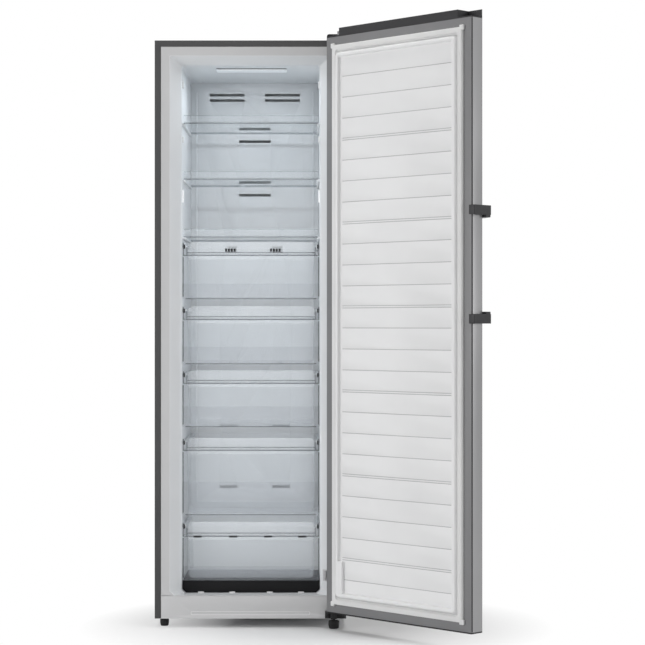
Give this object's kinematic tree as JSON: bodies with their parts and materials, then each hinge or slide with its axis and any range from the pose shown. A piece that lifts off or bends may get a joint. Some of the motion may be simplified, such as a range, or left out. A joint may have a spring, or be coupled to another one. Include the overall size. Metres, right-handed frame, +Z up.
{
  "type": "upright freezer",
  "caption": "Tall upright freezer with one side-hinged steel door, glass shelves, clear drawers, dark sheet cabinet, levelling feet and rear rollers.",
  "frame": {"origin": "centre of the footprint box of the whole freezer with its door open at the stop, on the floor", "axes": "+Z up, +X to the right seen from the front, -Y out of the front of the cabinet"},
  "size_m": [1.0048, 1.0922, 1.85],
  "materials": {
    "dark_sheet": "matte",
    "zinc_steel": "satin",
    "foam": "matte",
    "liner_white": "satin",
    "flange_grey": "satin",
    "black_plastic": "satin",
    "coil_metal": "satin",
    "black_enamel": "satin",
    "lamp_diffuser": "satin",
    "lamp_board": "satin",
    "dark_rubber": "matte",
    "switch_grey": "satin",
    "stainless": "satin",
    "frame_grey": "satin",
    "gasket_white": "matte",
    "bush_white": "satin",
    "handle_black": "satin",
    "shelf_glass": "gloss",
    "shelf_trim": "gloss",
    "drawer_clear": "gloss"
  },
  "bodies": {
    "cabinet": {"cabinet_shell": "dark_sheet", "back_panel": "zinc_steel", "insulation": "foam", "inner_liner": "liner_white", "front_apron": "flange_grey", "deck_panel": "black_plastic", "evaporator_cover": "liner_white", "evaporator_coil": "coil_metal", "fan_motor": "black_enamel", "lamp_cover": "lamp_diffuser", "lamp_board": "lamp_board", "base_pan": "zinc_steel", "compressor": "black_enamel", "drip_tray": "black_plastic", "control_box": "black_plastic", "machine_cover": "zinc_steel", "power_inlet": "dark_rubber", "switch_housing": "switch_grey", "upper_hinge": "zinc_steel", "upper_hinge_cover": "black_plastic", "lower_hinge": "black_enamel", "left_roller_axle": "zinc_steel", "right_roller_axle": "zinc_steel"},
    "door": {"door_skin": "stainless", "door_frame": "frame_grey", "door_liner": "liner_white", "door_foam": "foam", "door_gasket": "gasket_white", "door_top_cap": "black_plastic", "door_bottom_cap": "black_plastic", "upper_hinge_bush": "bush_white", "lower_hinge_bush": "bush_white", "handle_bracket_upper": "handle_black", "handle_bracket_lower": "handle_black", "handle_bar": "handle_black"},
    "shelf_1": {"shelf_glass_1": "shelf_glass", "shelf_trim_1": "shelf_trim"},
    "shelf_2": {"shelf_glass_2": "shelf_glass", "shelf_trim_2": "shelf_trim"},
    "shelf_3": {"shelf_glass_3": "shelf_glass", "shelf_trim_3": "shelf_trim"},
    "drawer_1": {"drawer_tub_1": "drawer_clear", "drawer_front_1": "drawer_clear"},
    "drawer_2": {"drawer_tub_2": "drawer_clear", "drawer_front_2": "drawer_clear"},
    "drawer_3": {"drawer_tub_3": "drawer_clear", "drawer_front_3": "drawer_clear"},
    "drawer_4": {"drawer_tub_4": "drawer_clear", "drawer_front_4": "drawer_clear"},
    "drawer_5": {"drawer_tub_5": "drawer_clear", "drawer_front_5": "drawer_clear"},
    "fan": {"fan_impeller": "black_plastic"},
    "door_switch": {"switch_plunger": "switch_grey"},
    "front_foot_left": {"left_foot": "dark_rubber"},
    "front_foot_right": {"right_foot": "dark_rubber"},
    "rear_roller_left": {"left_roller": "dark_rubber"},
    "rear_roller_right": {"right_roller": "dark_rubber"}
  },
  "joints": [
    {"name": "door_hinge", "type": "hinge", "parent": "cabinet", "child": "door", "pos_m": [0.07056, -0.09958, 0.94], "axis": [0, 0, 1], "range_deg": [-133.7, 0]},
    {"name": "shelf_1_slide", "type": "slide", "parent": "cabinet", "child": "shelf_1", "axis": [0, -1, 0], "range_m": [0, 0.15]},
    {"name": "shelf_2_slide", "type": "slide", "parent": "cabinet", "child": "shelf_2", "axis": [0, -1, 0], "range_m": [0, 0.15]},
    {"name": "shelf_3_slide", "type": "slide", "parent": "cabinet", "child": "shelf_3", "axis": [0, -1, 0], "range_m": [0, 0.15]},
    {"name": "drawer_1_slide", "type": "slide", "parent": "cabinet", "child": "drawer_1", "axis": [0, -1, 0], "range_m": [0, 0.3]},
    {"name": "drawer_2_slide", "type": "slide", "parent": "cabinet", "child": "drawer_2", "axis": [0, -1, 0], "range_m": [0, 0.3]},
    {"name": "drawer_3_slide", "type": "slide", "parent": "cabinet", "child": "drawer_3", "axis": [0, -1, 0], "range_m": [0, 0.3]},
    {"name": "drawer_4_slide", "type": "slide", "parent": "cabinet", "child": "drawer_4", "axis": [0, -1, 0], "range_m": [0, 0.3]},
    {"name": "drawer_5_slide", "type": "slide", "parent": "cabinet", "child": "drawer_5", "axis": [0, -1, 0], "range_m": [0, 0.2]},
    {"name": "fan_spin", "type": "hinge", "parent": "cabinet", "child": "fan", "pos_m": [-0.20494, 0.45242, 1.29], "axis": [0, 1, 0], "continuous": true},
    {"name": "switch_press", "type": "slide", "parent": "cabinet", "child": "door_switch", "axis": [0, 1, 0], "range_m": [0, 0.006], "stiffness_N_per_m": 60},
    {"name": "left_foot_turn", "type": "hinge", "parent": "cabinet", "child": "front_foot_left", "pos_m": [-0.47494, -0.01158, 0.01], "axis": [0, 0, 1], "continuous": true},
    {"name": "right_foot_turn", "type": "hinge", "parent": "cabinet", "child": "front_foot_right", "pos_m": [0.05376, -0.07158, 0.012], "axis": [0, 0, 1], "continuous": true},
    {"name": "left_roller_roll", "type": "hinge", "parent": "cabinet", "child": "rear_roller_left", "pos_m": [-0.45494, 0.49942, 0.0125], "axis": [1, 0, 0], "continuous": true},
    {"name": "right_roller_roll", "type": "hinge", "parent": "cabinet", "child": "rear_roller_right", "pos_m": [0.04506, 0.49942, 0.0125], "axis": [1, 0, 0], "continuous": true}
  ]
}
